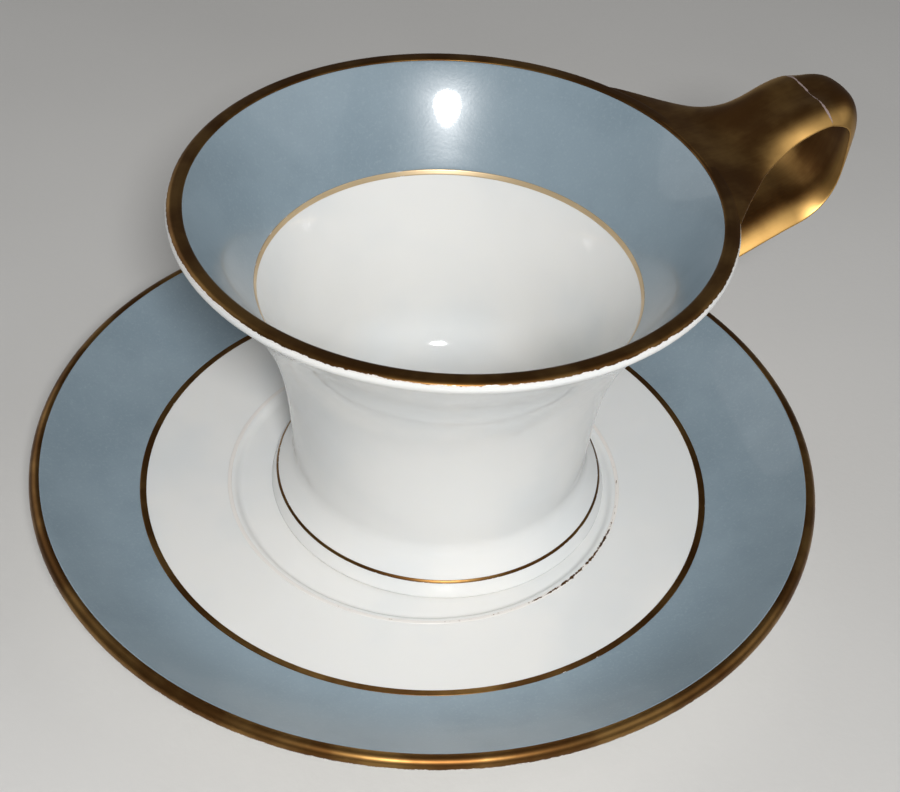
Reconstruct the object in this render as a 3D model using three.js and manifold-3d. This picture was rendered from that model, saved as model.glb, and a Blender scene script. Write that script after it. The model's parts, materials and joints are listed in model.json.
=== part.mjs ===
// Demitasse cup and saucer: a trumpet-shaped porcelain cup with a folded ribbon handle, standing in the
// well of its saucer. Enamel bands, gold lines and gilded edges are thin coats on the porcelain.
// Millimetres, +Z up, the handle along +X, the origin under the middle of the whole.
import * as THREE from 'three';
import { mergeVertices } from 'three/addons/utils/BufferGeometryUtils.js';
import Module from 'manifold-3d';

const wasm = await Module();
wasm.setup();

// Saucer: radii from its axis, heights from the table, slopes in degrees
const saucerRadius = 60.5;
const saucerHeight = 14.7;
const saucerEdgeThickness = 2.3;
const saucerEdgeSlope = 34;
const saucerThickness = 3.4;
const ledgeSlope = 3;
const wellStepRise = 0.9;
const wellStepRun = 1.2;
const footRingRadius = 35.5;
const footRingWidth = 3;
const footRingDepth = 2.975;
const footRingChamfer = 0.4;
const footRingFillet = 1.2;

// Cup: radii from its axis, heights from its foot, leans in degrees from upright
const cupHeight = 53.55;
const cupRimRadius = 39.55;
const cupWall = 1.8;
const rimThickness = 2.4;
const lipFlare = 42;
const neckRadius = 22.8;
const neckHeight = 7.2;
const neckLean = 4;
const cupFootRadius = 26.55;
const cupFootBatter = 0.95;
const cupFootSide = 2.6;
const cupFootWidth = 3.8;
const cupFootChamfer = 0.4;
const cupFootRecess = 3.2;
const footFlareLean = 42;
const footFlareTopLean = 22;
const cupFloorThickness = 5.2;
const cupFloorCorner = 9;

// Handle: reaches out from the cup's rim, heights above the rim or, where negative, below it
const ribbonWidth = 14.4;
const ribbonThickness = 2.4;
const ribbonEdgeFall = 1.7;
const rootHeight = -0.45;
const creaseReach = 17.65;
const creaseHeight = 5.5;
const creaseTurn = 10;
const creaseDish = 0.9;
const loopReach = 23.35;
const loopHeight = -0.2;
const loopCrown = 1.7;
const underReach = 15.25;
const underHeight = -13.7;
const underSlope = 18;
const lowerRootHeight = -20.5;
const flareReach = 11.95;
const flareRadius = 12;
const flareAngle = 45;

// Coats of enamel and gold
const coatThickness = 0.2;
const saucerLineRadius = 44;
const saucerLineWidth = 1.2;
const saucerGiltUnder = 25;
const wellLineWidth = 0.8;
const innerLineDepth = 14.55;
const innerLineWidth = 1;
const rimGiltInside = 0.25;
const rimGiltFrom = 36;
const footLineWidth = 0.85;

// Clearances: the handle to the cup's coats, the well round a centred cup, and the gap left where it stands
const lutingGap = 0.3;
const wellClearance = 2.65;
const wellSideGap = 0.25;

// How far each curve keeps its end's direction, as a share of its span
const flangeHold = 0.36;
const footHold = 0.33;
const neckHold = 0.3;
const lipHold = 0.53;
const upperHold = 0.3;
const rollHold = 0.46;
const underHold = 0.42;
const lowerHold = 0.33;

// The share of the cup wall's length from which it thickens to the rim
const rimSwellShare = 0.7;

// The share of the roll past the crease in which its dish turns to a crown
const crownShare = 0.6;

// The share of the ribbon's half width from which its upper side falls away to the edge
const shoulderShare = 0.3;

// Facets round an axis, and steps along each curve
const facets = 48;
const edgeSteps = 6;
const edgeUnderSteps = 2;
const flangeSteps = 6;
const flangeUnderSteps = 4;
const cornerSteps = 4;
const footSteps = 3;
const wallSteps = 8;
const rimBareSteps = 2;
const rimSteps = 3;
const mouthSteps = 4;
const bowlSteps = 5;
const ribbonSteps = 6;
const rootSteps = 4;
const upperSteps = 9;
const rollSteps = 7;
const turnSteps = 7;
const lowerSteps = 5;

const flat = (r, z) => new THREE.Vector2(r, z);
const aim = (degrees) => flat(1, 0).rotateAround(flat(0, 0), THREE.MathUtils.degToRad(degrees));
const shift = (p, direction, length) => p.clone().addScaledVector(direction, length);
const steps = (count, make) => Array.from({ length: count + 1 }, (_, i) => make(i / count));
const { lerp, smoothstep } = THREE.MathUtils;

// A station is a point of a profile with the direction in which the surface faces there
const station = (p, faces) => ({ p, faces });
const raise = (s, height) => shift(s.p, s.faces, height);
const points = (stations) => stations.map((s) => s.p);

// The station at a share of a curve's length, faced to the right of the curve's run
function stationAt(curve, share) {
  const run = curve.getTangentAt(share);
  return station(curve.getPointAt(share), flat(run.y, -run.x));
}

const along = (curve, from, to, count) => steps(count, (k) => stationAt(curve, lerp(from, to, k)));

// Stations round an arc, anticlockwise, in degrees
function round(centre, radius, from, to, count) {
  return steps(count, (k) => {
    const faces = aim(lerp(from, to, k));
    return station(shift(centre, faces, radius), faces);
  });
}

// The point where two lines meet, each given by a point and a direction
function meet(p, u, q, v) {
  const w = q.clone().sub(p);
  return shift(p, u, w.cross(v) / u.cross(v));
}

// A curve that leaves one point and reaches the other along the directions given there
const bend = (p, u, q, v) => new THREE.QuadraticBezierCurve(p, meet(p, u, q, v), q);

// The same, keeping each end's direction for a share of the distance between them
function held(p, u, q, v, hold) {
  const reach = hold * p.distanceTo(q);
  return new THREE.CubicBezierCurve(p, shift(p, u, reach), shift(q, v, -reach), q);
}

// A solid turned about +Z from a profile that runs anticlockwise
function turned(profile) {
  const geometry = new THREE.LatheGeometry(profile, facets);
  return geometry.rotateX(Math.PI / 2);
}

// A coat on a run of stations: the porcelain's own surface behind, the raised face in front
function coat(stations) {
  const face = stations.map((s) => raise(s, coatThickness));
  return turned([...face, ...points(stations).reverse(), face[0]]);
}

function mesh(name, geometry, color, roughness, metalness) {
  const part = new THREE.Mesh(geometry, new THREE.MeshStandardMaterial({ color, roughness, metalness }));
  part.name = name;
  return part;
}

const porcelain = (name, geometry) => mesh(name, geometry, 0xf3f2ee, 0.12, 0);
const enamel = (name, geometry) => mesh(name, geometry, 0x8f9ba5, 0.35, 0);
const gold = (name, geometry) => mesh(name, geometry, 0x9a7436, 0.28, 1);

// Saucer edge: a full round whose upper side runs on into the flange
const edgeRound = saucerEdgeThickness / 2;
const edgeCentre = flat(saucerRadius - edgeRound, saucerHeight - edgeRound);
const edgeSide = saucerEdgeSlope - 90;
const edgeTop = saucerEdgeSlope + 90;
const edgeBare = round(edgeCentre, edgeRound, edgeSide, -saucerGiltUnder, edgeUnderSteps);
const edgeGilt = round(edgeCentre, edgeRound, -saucerGiltUnder, edgeTop, edgeSteps);

// Saucer well: its floor takes the cup's foot
const wellFloorRadius = cupFootRadius + wellClearance;
const wellFloorHeight = footRingDepth + saucerThickness;

// Saucer ledge: nearly level, from the well's step to the gold line
const ledgeRun = aim(ledgeSlope);
const ledgeFaces = aim(ledgeSlope + 90);
const stepTop = flat(wellFloorRadius + wellStepRun, wellFloorHeight + wellStepRise);
const ledgeAt = (r) => station(shift(stepTop, ledgeRun, (r - stepTop.x) / ledgeRun.x), ledgeFaces);
const saucerLine = [saucerLineWidth / 2, -saucerLineWidth / 2].map((d) => ledgeAt(saucerLineRadius + d));
const wellLine = [wellLineWidth, 0].map((d) => ledgeAt(stepTop.x + d));
const wellStep = new THREE.CubicBezierCurve(
  stepTop,
  shift(stepTop, ledgeRun, -wellStepRun / 2),
  flat(wellFloorRadius + wellStepRun / 2, wellFloorHeight),
  flat(wellFloorRadius, wellFloorHeight),
);

// Saucer flange: two curves, above and below, from the rounded edge in to the ledge and the foot ring
const flangeRun = aim(saucerEdgeSlope);
const flangeIn = aim(180 + saucerEdgeSlope);
const ledgeIn = aim(180 + ledgeSlope);
const flangeTop = held(edgeGilt.at(-1).p, flangeIn, saucerLine[0].p, ledgeIn, flangeHold);
const flangeRoot = flat(footRingRadius + footRingFillet, ledgeAt(footRingRadius).p.y - saucerThickness);
const flangeUnder = held(flangeRoot, ledgeRun, edgeBare[0].p, flangeRun, flangeHold);
const blueFlange = along(flangeTop, 0, 1, flangeSteps);

const footRingInside = footRingRadius - footRingWidth;
const saucerProfile = [
  flat(0, footRingDepth),
  flat(footRingInside - footRingFillet, footRingDepth),
  flat(footRingInside, footRingDepth - footRingFillet),
  flat(footRingInside, footRingChamfer),
  flat(footRingInside + footRingChamfer, 0),
  flat(footRingRadius - footRingChamfer, 0),
  flat(footRingRadius, footRingChamfer),
  flat(footRingRadius, flangeRoot.y - footRingFillet),
  ...points(along(flangeUnder, 0, 1, flangeUnderSteps)),
  ...points(edgeBare).slice(1),
  ...points(edgeGilt).slice(1),
  ...points(blueFlange).slice(1),
  saucerLine[1].p,
  wellLine[0].p,
  ...points(along(wellStep, 0, 1, cornerSteps)),
  flat(0, wellFloorHeight),
];

const saucer = new THREE.Group();
saucer.add(
  porcelain('saucer_body', turned(saucerProfile)),
  enamel('saucer_blue_band', coat(blueFlange)),
  gold('saucer_rim_gilding', coat(edgeGilt)),
  gold('saucer_band_gold_line', coat(saucerLine)),
  gold('saucer_well_gold_line', coat(wellLine)),
);

// Cup wall: one curve from the neck to the lip gives the outside, and the inside keeps the wall's thickness
// until it draws in to a thicker rim
const rimRound = cupWall / 2;
const rimCentre = flat(cupRimRadius - rimRound, cupHeight - rimRound);
const lip = shift(rimCentre, aim(-lipFlare), rimRound);
const neck = flat(neckRadius, neckHeight);
const wallSpan = lip.y - neck.y;
const wallCurve = new THREE.CubicBezierCurve(
  neck,
  shift(neck, aim(90 - neckLean), neckHold * wallSpan),
  shift(lip, aim(90 - lipFlare), -lipHold * wallSpan),
  lip,
);
const outsideAt = (share) => stationAt(wallCurve, share);
const insideAt = (share) => {
  const s = outsideAt(share);
  const thickness = lerp(cupWall, rimThickness, smoothstep(share, rimSwellShare, 1));
  return station(raise(s, -thickness), s.faces.clone().negate());
};
const wallOutside = along(wallCurve, 0, 1, wallSteps);
const insideRun = (from, to, count) => steps(count, (k) => insideAt(lerp(from, to, k)));

// The share of the wall's length at which a side of it reaches a height
function shareAt(side, height) {
  let low = 0;
  let high = 1;
  while (high - low > 1e-9) {
    const middle = (low + high) / 2;
    if (side(middle).p.y < height) low = middle;
    else high = middle;
  }
  return low;
}

// Cup rim: its round outer edge is bare up to the shoulder, and from there the gilding covers the level top
// and a little of the inside
const rimBare = round(rimCentre, rimRound, -lipFlare, rimGiltFrom, rimBareSteps);
const rimOver = round(rimCentre, rimRound, rimGiltFrom, 90, rimSteps);
const rimInner = insideAt(shareAt(insideAt, cupHeight));
const rimCorner = station(rimInner.p, rimInner.faces.clone().add(flat(0, 1)).normalize());
const giltInside = shareAt(insideAt, cupHeight - rimGiltInside);
const rimGilt = [...rimOver, rimCorner, insideAt(giltInside)];

// Cup inside: the blue band, its gold line, and the white bowl down to the floor's round corner
const innerLineHeight = cupHeight - innerLineDepth;
const lineTop = shareAt(insideAt, innerLineHeight + innerLineWidth / 2);
const lineFoot = shareAt(insideAt, innerLineHeight - innerLineWidth / 2);
const blueMouth = insideRun(giltInside, lineTop, mouthSteps);
const innerLine = insideRun(lineTop, lineFoot, 1);
const floorHeight = cupFootRecess + cupFloorThickness;
const cornerShare = shareAt(insideAt, floorHeight + cupFloorCorner);
const cornerTop = insideAt(cornerShare);
const cornerRun = flat(cornerTop.faces.y, -cornerTop.faces.x);
const cornerFoot = flat(cornerTop.p.x - cupFloorCorner, floorHeight);
const floorCorner = bend(cornerTop.p, cornerRun, cornerFoot, flat(1, 0));

// Cup foot: a short side, then a flare that carries the gold line and sweeps up to the neck
const shoulder = flat(cupFootRadius - cupFootBatter, cupFootSide);
const footFlare = held(shoulder, aim(90 + footFlareLean), neck, aim(90 + footFlareTopLean), footHold);
const footLineShare = footLineWidth / footFlare.getLength();
const footLine = along(footFlare, 0, footLineShare, 1);

const cupProfile = [
  flat(0, cupFootRecess),
  flat(cupFootRadius - cupFootWidth - cupFootRecess / 2, cupFootRecess),
  flat(cupFootRadius - cupFootWidth, 0),
  flat(cupFootRadius - cupFootChamfer, 0),
  flat(cupFootRadius, cupFootChamfer),
  ...points(footLine),
  ...points(along(footFlare, footLineShare, 1, footSteps)).slice(1),
  ...points(wallOutside).slice(1),
  ...points(rimBare).slice(1),
  ...points(rimGilt).slice(1),
  ...points(blueMouth).slice(1),
  innerLine[1].p,
  ...points(insideRun(lineFoot, cornerShare, bowlSteps)).slice(1),
  ...points(along(floorCorner, 0, 1, cornerSteps)).slice(1),
  flat(0, floorHeight),
];

// A closed body from rings of points joined in order, with a fan over each end
function loft(rings) {
  const size = rings[0].length;
  const last = (rings.length - 1) * size;
  const ends = [rings[0], rings.at(-1)].map((ring) => {
    const middle = new THREE.Vector3();
    ring.forEach((p) => middle.addScaledVector(p, 1 / size));
    return middle;
  });
  const index = [];
  for (let i = 0; i < size; i += 1) {
    const j = (i + 1) % size;
    for (let start = 0; start < last; start += size) {
      const next = start + size;
      index.push(start + i, next + i, start + j, start + j, next + i, next + j);
    }
    index.push(last + size, i, j, last + size + 1, last + j, last + i);
  }
  const geometry = new THREE.BufferGeometry().setFromPoints([...rings.flat(), ...ends]);
  geometry.setIndex(index);
  return geometry;
}

function solid(geometry) {
  const bare = geometry.clone();
  bare.deleteAttribute('normal');
  bare.deleteAttribute('uv');
  const merged = mergeVertices(bare);
  const vertProperties = new Float32Array(merged.attributes.position.array);
  const triVerts = new Uint32Array(merged.index.array);
  return new wasm.Manifold(new wasm.Mesh({ numProp: 3, vertProperties, triVerts }));
}

function geometryOf(body) {
  const { vertProperties, triVerts } = body.getMesh();
  const geometry = new THREE.BufferGeometry();
  geometry.setAttribute('position', new THREE.BufferAttribute(vertProperties, 3));
  geometry.setIndex(new THREE.BufferAttribute(triVerts, 1));
  geometry.computeVertexNormals();
  return geometry;
}

// Handle: the loop's outer face as a chain of curves in the plane of the handle
const fromRim = (reach, height) => flat(cupRimRadius + reach, cupHeight + height);
const root = fromRim(0, rootHeight);
const crease = fromRim(creaseReach, creaseHeight);
const outermost = fromRim(loopReach, loopHeight);
const under = fromRim(underReach, underHeight);
const lowerWall = outsideAt(shareAt(outsideAt, cupHeight + lowerRootHeight));
const outwards = flat(1, 0);
const down = flat(0, -1);
const pastCrease = aim(-creaseTurn);
const pastUnder = aim(180 + underSlope);
const upper = held(root, outwards, crease, outwards, upperHold);
const roll = held(crease, pastCrease, outermost, down, rollHold);
const turn = held(outermost, down, under, pastUnder, underHold);
const lower = held(under, pastUnder, raise(lowerWall, -cupWall), lowerWall.faces.clone().negate(), lowerHold);

// The ribbon widens towards the rim by an arc that runs on straight to the rim's circle
const halfWidth = ribbonWidth / 2;
const flareStart = cupRimRadius + flareReach;
const flareSlope = aim(flareAngle);
function widthAt(x) {
  const run = Math.max(flareStart - x, 0);
  const arc = Math.min(run, flareRadius * flareSlope.y);
  const sweep = flareRadius - Math.sqrt(flareRadius ** 2 - arc ** 2);
  return halfWidth + sweep + ((run - arc) * flareSlope.y) / flareSlope.x;
}

// One ring of the ribbon: its middle bowed out, or dished where bow is negative, its outer and its inner
// face falling away to round edges
function ring(s, width, bow, outerFall, innerFall) {
  const edge = ribbonThickness / 2;
  const span = width - edge;
  const bowAt = (v) => bow * (1 - (v / width) ** 2);
  const shoulderAt = (v) => Math.max((Math.abs(v) / width - shoulderShare) / (1 - shoulderShare), 0) ** 2;
  const outerAt = (v) => bowAt(v) - outerFall * shoulderAt(v);
  const innerAt = (v) => bowAt(v) - ribbonThickness + innerFall * shoulderAt(v);
  const middle = (outerAt(span) + innerAt(span)) / 2;
  const swell = outerAt(span) - middle;
  const across = steps(ribbonSteps, (k) => lerp(-span, span, k));
  const section = [
    ...across.map((v) => flat(v, outerAt(v))),
    ...[45, 0, -45].map((a) => aim(a)).map((d) => flat(span + edge * d.x, middle + swell * d.y)),
    ...across.map((v) => flat(-v, innerAt(v))),
    ...[225, 180, 135].map((a) => aim(a)).map((d) => flat(-span + edge * d.x, middle + swell * d.y)),
  ];
  return section.map((q) => {
    const p = raise(s, q.y);
    return new THREE.Vector3(p.x, q.x, p.y);
  });
}

// Stations of the loop face outwards, to the left of the run from the rim to the wall
const outward = (s) => station(s.p, s.faces.clone().negate());
const loopRun = (curve, count) => along(curve, 0, 1, count).map(outward);
const rootRun = cupRimRadius * (1 - flareSlope.x);
const inRim = steps(rootSteps, (k) => station(flat(root.x - rootRun * (1 - k), root.y), flat(0, 1)));
const upperRun = loopRun(upper, upperSteps);
const rollRun = loopRun(roll, rollSteps);
const turnRun = loopRun(turn, turnSteps);
const lowerRun = loopRun(lower, lowerSteps);
const fold = station(crease, upperRun.at(-1).faces.clone().add(rollRun[0].faces).normalize());
const dishAt = (s) => -creaseDish * smoothstep(s.p.x, root.x, crease.x);
const fallAt = (s) => ribbonEdgeFall * smoothstep(s.p.x, root.x, flareStart);
const handleRings = [
  ...inRim.slice(0, -1).map((s) => ring(s, widthAt(s.p.x), 0, 0, 0)),
  ...upperRun.slice(0, -1).map((s) => ring(s, widthAt(s.p.x), dishAt(s), fallAt(s), 0)),
  ring(fold, halfWidth, -creaseDish, ribbonEdgeFall, 0),
  ...rollRun.slice(1).map((s, i, run) => {
    const crowned = smoothstep((i + 1) / run.length, 0, crownShare);
    return ring(s, halfWidth, lerp(-creaseDish, loopCrown, crowned), ribbonEdgeFall, 0);
  }),
  ...turnRun.slice(1).map((s, i, run) => {
    const share = (i + 1) / run.length;
    const outerFall = ribbonEdgeFall * (1 - share);
    return ring(s, halfWidth, loopCrown * (1 - share), outerFall, ribbonEdgeFall - outerFall);
  }),
  ...lowerRun.slice(1).map((s) => ring(s, halfWidth, 0, 0, ribbonEdgeFall)),
];

// The cup with its coats and the luting gap, filled to its axis, is what the handle's ends are cut to
const skin = [...wallOutside, ...rimBare.slice(1), ...rimOver.slice(1)];
const skinOut = skin.map((s) => raise(s, coatThickness + lutingGap));
const cupEnvelope = [flat(0, skinOut[0].y), ...skinOut, flat(0, skinOut.at(-1).y)];
const handle = solid(loft(handleRings)).subtract(solid(turned(cupEnvelope)));

const cup = new THREE.Group();
cup.add(
  porcelain('cup_body', turned(cupProfile)),
  gold('cup_handle', geometryOf(handle)),
  enamel('cup_inner_blue_band', coat(blueMouth)),
  gold('cup_rim_gilding', coat(rimGilt)),
  gold('cup_inner_gold_line', coat(innerLine)),
  gold('cup_foot_gold_line', coat(footLine)),
);

// The cup stands on the floor of the well, moved along the handle to the side of the well
cup.position.set(wellClearance - wellSideGap, 0, wellFloorHeight);

const set = new THREE.Group();
set.add(saucer, cup);
const box = new THREE.Box3().setFromObject(set);
set.position.set(-(box.min.x + box.max.x) / 2, -(box.min.y + box.max.y) / 2, -box.min.z);

export default set;
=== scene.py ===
"""Demitasse cup and saucer, dressed in clear glaze, blue-grey enamel and worn gilding.

Every piece is turned or drawn out from the sizes in the sidebar, in metres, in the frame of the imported
model, and rides on the saucer or on the cup.
"""
import json
import math

import bpy
import numpy as np
from bpy.props import FloatProperty, FloatVectorProperty, IntProperty, PointerProperty
from mathutils import Matrix, Vector

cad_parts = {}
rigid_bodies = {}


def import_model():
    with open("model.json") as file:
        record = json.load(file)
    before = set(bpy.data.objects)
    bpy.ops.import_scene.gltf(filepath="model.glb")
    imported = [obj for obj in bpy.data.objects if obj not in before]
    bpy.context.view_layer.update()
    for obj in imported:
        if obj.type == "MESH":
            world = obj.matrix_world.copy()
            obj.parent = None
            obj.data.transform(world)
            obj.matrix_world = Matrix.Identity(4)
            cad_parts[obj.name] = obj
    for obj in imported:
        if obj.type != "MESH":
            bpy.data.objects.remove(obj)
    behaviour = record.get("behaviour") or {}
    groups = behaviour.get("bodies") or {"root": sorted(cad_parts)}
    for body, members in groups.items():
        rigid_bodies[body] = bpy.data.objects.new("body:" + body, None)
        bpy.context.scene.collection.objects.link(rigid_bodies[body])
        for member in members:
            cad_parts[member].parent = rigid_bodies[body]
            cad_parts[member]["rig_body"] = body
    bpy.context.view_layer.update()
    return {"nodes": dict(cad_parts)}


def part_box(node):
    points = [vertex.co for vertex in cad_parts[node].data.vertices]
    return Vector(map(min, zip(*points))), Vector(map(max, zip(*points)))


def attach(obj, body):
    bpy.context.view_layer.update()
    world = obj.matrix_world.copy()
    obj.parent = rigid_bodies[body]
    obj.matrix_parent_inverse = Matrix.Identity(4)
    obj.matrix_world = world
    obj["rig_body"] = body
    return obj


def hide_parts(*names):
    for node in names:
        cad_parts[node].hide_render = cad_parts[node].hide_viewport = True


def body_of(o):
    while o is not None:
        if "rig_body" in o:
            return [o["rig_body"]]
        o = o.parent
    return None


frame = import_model()

bl_info = {
    "name": "Demitasse Cup and Saucer",
    "version": (1, 0, 0),
    "blender": (4, 5, 0),
    "location": "View3D > Sidebar > Tableware",
    "description": "Turns a gilded cup and saucer and sets them on a stage",
    "category": "Object",
}

MM = 0.001
SAUCER_LOW, SAUCER_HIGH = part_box("saucer_body")
CUP_LOW, CUP_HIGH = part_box("cup_body")


def setting(kind=FloatProperty, scale=1, **fixed):
    """A maker of properties of one kind, whose values are given in units of the scale."""
    def make(name, value, description):
        return kind(name=name, description=description, default=(np.array(value) * scale).tolist(), **fixed)

    return make


length = setting(scale=MM, subtype="DISTANCE", unit="LENGTH", precision=5)
angle = setting(scale=math.radians(1), subtype="ANGLE", unit="ROTATION")
share = setting(min=0, max=1, subtype="FACTOR")
power = setting(unit="POWER")
place = setting(FloatVectorProperty, scale=MM, size=3, subtype="TRANSLATION", unit="LENGTH")
colour = setting(FloatVectorProperty, size=3, min=0, max=1, subtype="COLOR")
fuller = setting(min=2, max=8)
focal = setting(unit="CAMERA")
steps = setting(IntProperty, min=24)


def keeping(name, value, run):
    return share(name, value, f"How far the {run} keeps the direction of its ends")


class SaucerSizes(bpy.types.PropertyGroup):
    """Radii from the saucer's axis and heights from the table."""

    radius: length("Radius", (SAUCER_HIGH.x - SAUCER_LOW.x) / 2 / MM, "To the outside of the rounded edge")
    height: length("Height", 14.7, "From the table to the top of the edge")
    edge: length("Edge Thickness", 2.3, "Thickness of the rounded edge")
    edge_slope: angle("Edge Slope", 34, "Rise of the flange where it meets the edge")
    edge_gilt: angle("Gilt Under Edge", 14, "How far the gilding runs under the edge")
    gilt_over: angle("Gilt Over Edge", 110, "How far the gilding runs over the edge")
    thickness: length("Thickness", 3.4, "Thickness of the ledge and of the well's floor")
    hold: keeping("Flange Hold", 0.36, "flange")
    line_radius: length("Line Radius", 44, "Radius of the gold line inside the blue band")
    line_width: length("Line Width", 1.0, "Width of the gold line inside the blue band")
    ledge_slope: angle("Ledge Slope", 3, "Rise of the white ledge")
    well_radius: length("Well Radius", 28.7, "Radius of the well's level floor")
    step_run: length("Step Run", 1.7, "Width of the soft step round the well")
    step_rise: length("Step Rise", 0.9, "Height of the soft step round the well")
    well_line: length("Well Line", 0.6, "Width of the gold line at the top of the step")
    foot_radius: length("Foot Radius", 35.5, "Radius of the foot ring")
    foot_width: length("Foot Width", 3, "Width of the foot ring")
    foot_depth: length("Foot Depth", 2.975, "Height of the foot ring")
    foot_fillet: length("Foot Fillet", 1.2, "Round between the foot ring and the underside")
    foot_chamfer: length("Foot Chamfer", 0.4, "Round at the edges of the foot ring")


class CupSizes(bpy.types.PropertyGroup):
    """Radii from the cup's axis and heights from its foot."""

    radius: length("Rim Radius", (CUP_HIGH.x - CUP_LOW.x) / 2 / MM, "To the outside of the rim")
    height: length("Height", 53.55, "From the foot to the top of the rim")
    wall: length("Wall", 1.8, "Thickness of the wall")
    rim: length("Rim Thickness", 2.4, "Thickness that the wall grows to at the rim")
    rim_from: share("Rim From", 0.7, "Where up the wall it begins to thicken to the rim")
    rim_ease: length("Rim Ease", 0.5, "Round at the inner corner of the level rim")
    lip_flare: angle("Lip Flare", 42, "Lean of the wall at the rim")
    lip_hold: share("Lip Hold", 0.53, "How far down the wall keeps the lip's lean")
    neck_radius: length("Neck Radius", 22.8, "Radius of the narrowest place")
    neck_height: length("Neck Height", 7.2, "Height of the narrowest place")
    neck_lean: angle("Neck Lean", 4, "Lean of the wall at the neck")
    neck_hold: share("Neck Hold", 0.3, "How far up the wall keeps the neck's lean")
    neck_ease: length("Neck Ease", 1.4, "Round where the wall rises from the foot's flare")
    foot_radius: length("Foot Radius", 26.55, "Radius of the foot")
    foot_batter: length("Foot Batter", 0.95, "How much the foot's side draws in")
    foot_side: length("Foot Side", 2.6, "Height of the foot's side")
    foot_width: length("Foot Width", 3.8, "Width of the ring that the cup stands on")
    foot_chamfer: length("Foot Chamfer", 0.4, "Round at the lower edge of the foot")
    foot_recess: length("Foot Recess", 3.2, "Depth of the hollow under the foot")
    flare_lean: angle("Foot Flare Lean", 42, "Lean of the flare above the foot's side")
    flare_top_lean: angle("Foot Flare Top Lean", 22, "Lean of the flare where it reaches the neck")
    flare_hold: keeping("Foot Flare Hold", 0.33, "flare")
    floor: length("Floor", 5.2, "Thickness of the floor")
    floor_corner: length("Floor Corner", 9, "Round between the floor and the wall")
    line_depth: length("Line Depth", 14.55, "Depth of the inner gold line below the rim")
    line_width: length("Line Width", 0.75, "Width of the inner gold line")
    gilt_inside: length("Gilt Inside", 0.25, "How far the rim's gilding runs down inside")
    gilt_from: angle("Gilt From", 36, "Where on the rim's round the gilding starts")
    foot_line: length("Foot Line", 0.5, "Width of the gold line on the foot")


class HandleSizes(bpy.types.PropertyGroup):
    """Reaches out from the cup's rim, and heights above it."""

    width: length("Ribbon Width", 14.4, "Width of the ribbon")
    thickness: length("Ribbon Thickness", 2.4, "Thickness of the ribbon")
    root_height: length("Root Height", -0.45, "Upper face of the ribbon where it leaves the rim")
    crease_reach: length("Crease Reach", 17.65, "Distance of the crease from the rim")
    crease_height: length("Crease Height", 5.5, "Height of the crease above the rim")
    crease_turn: angle("Crease Turn", 10, "Turn of the ribbon at the crease")
    dish: length("Dish", 0.9, "Hollow of the ribbon's face at the crease")
    crown: length("Crown", 1.7, "Bulge of the ribbon's face round the loop's end")
    crown_share: share("Crown Share", 0.6, "Part of the roll in which the hollow turns to a bulge")
    loop_reach: length("Loop Reach", 23.35, "Distance of the loop's outermost place")
    loop_height: length("Loop Height", -0.2, "Height of the loop's outermost place")
    under_reach: length("Under Reach", 15.25, "Distance of the loop's under side")
    under_height: length("Under Height", -13.7, "Height of the loop's under side")
    under_slope: angle("Under Slope", 18, "Fall of the under side towards the cup")
    lower_height: length("Lower Root Height", -20.5, "Height at which the ribbon meets the wall")
    flare_reach: length("Flare Reach", 11.95, "Where the ribbon begins to widen towards the rim")
    flare_radius: length("Flare Radius", 12, "Radius of the widening")
    flare_angle: angle("Flare Angle", 45, "Angle of the widening at the rim")
    upper_hold: keeping("Upper Hold", 0.3, "upper run")
    roll_hold: keeping("Roll Hold", 0.46, "roll")
    turn_hold: keeping("Turn Hold", 0.42, "turn")
    lower_hold: keeping("Lower Hold", 0.33, "lower run")
    root_fillet: length("Root Fillet", 2.2, "Hollow under the root at the rim")
    wall_fillet: length("Wall Fillet", 1.5, "Hollow round the root on the wall")
    root_lap: length("Root Lap", 1.9, "How far the upper end lies over the rim")
    embed: length("Embed", 0.9, "How far the lower end is sunk in the wall")
    tip: share("Tip", 0.86, "How much the ribbon thins towards the tips of its widening")
    fullness: fuller("Fullness", 3.2, "2 makes the ribbon's section an ellipse, more a fuller bar")
    droop: length("Droop", 2.1, "How much the ribbon's upper face falls away to its edges")
    lift: length("Lift", 0.35, "How much the middle of the ribbon's upper face stands up")
    shoulder: share("Shoulder", 0.3, "Where across the half width the face begins to fall away")
    rise: length("Rise", 0.55, "How much the upper face rises to the rim")


class CoatSizes(bpy.types.PropertyGroup):
    """Coats fired on the glaze."""

    enamel: length("Enamel", 0.07, "Thickness of the blue enamel")
    gold: length("Gold", 0.08, "Thickness of the gold")
    edge: length("Edge", 0.12, "Width over which a coat thins to its edge")
    sink: length("Sink", 0.03, "How far a coat reaches into the glaze")


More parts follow.
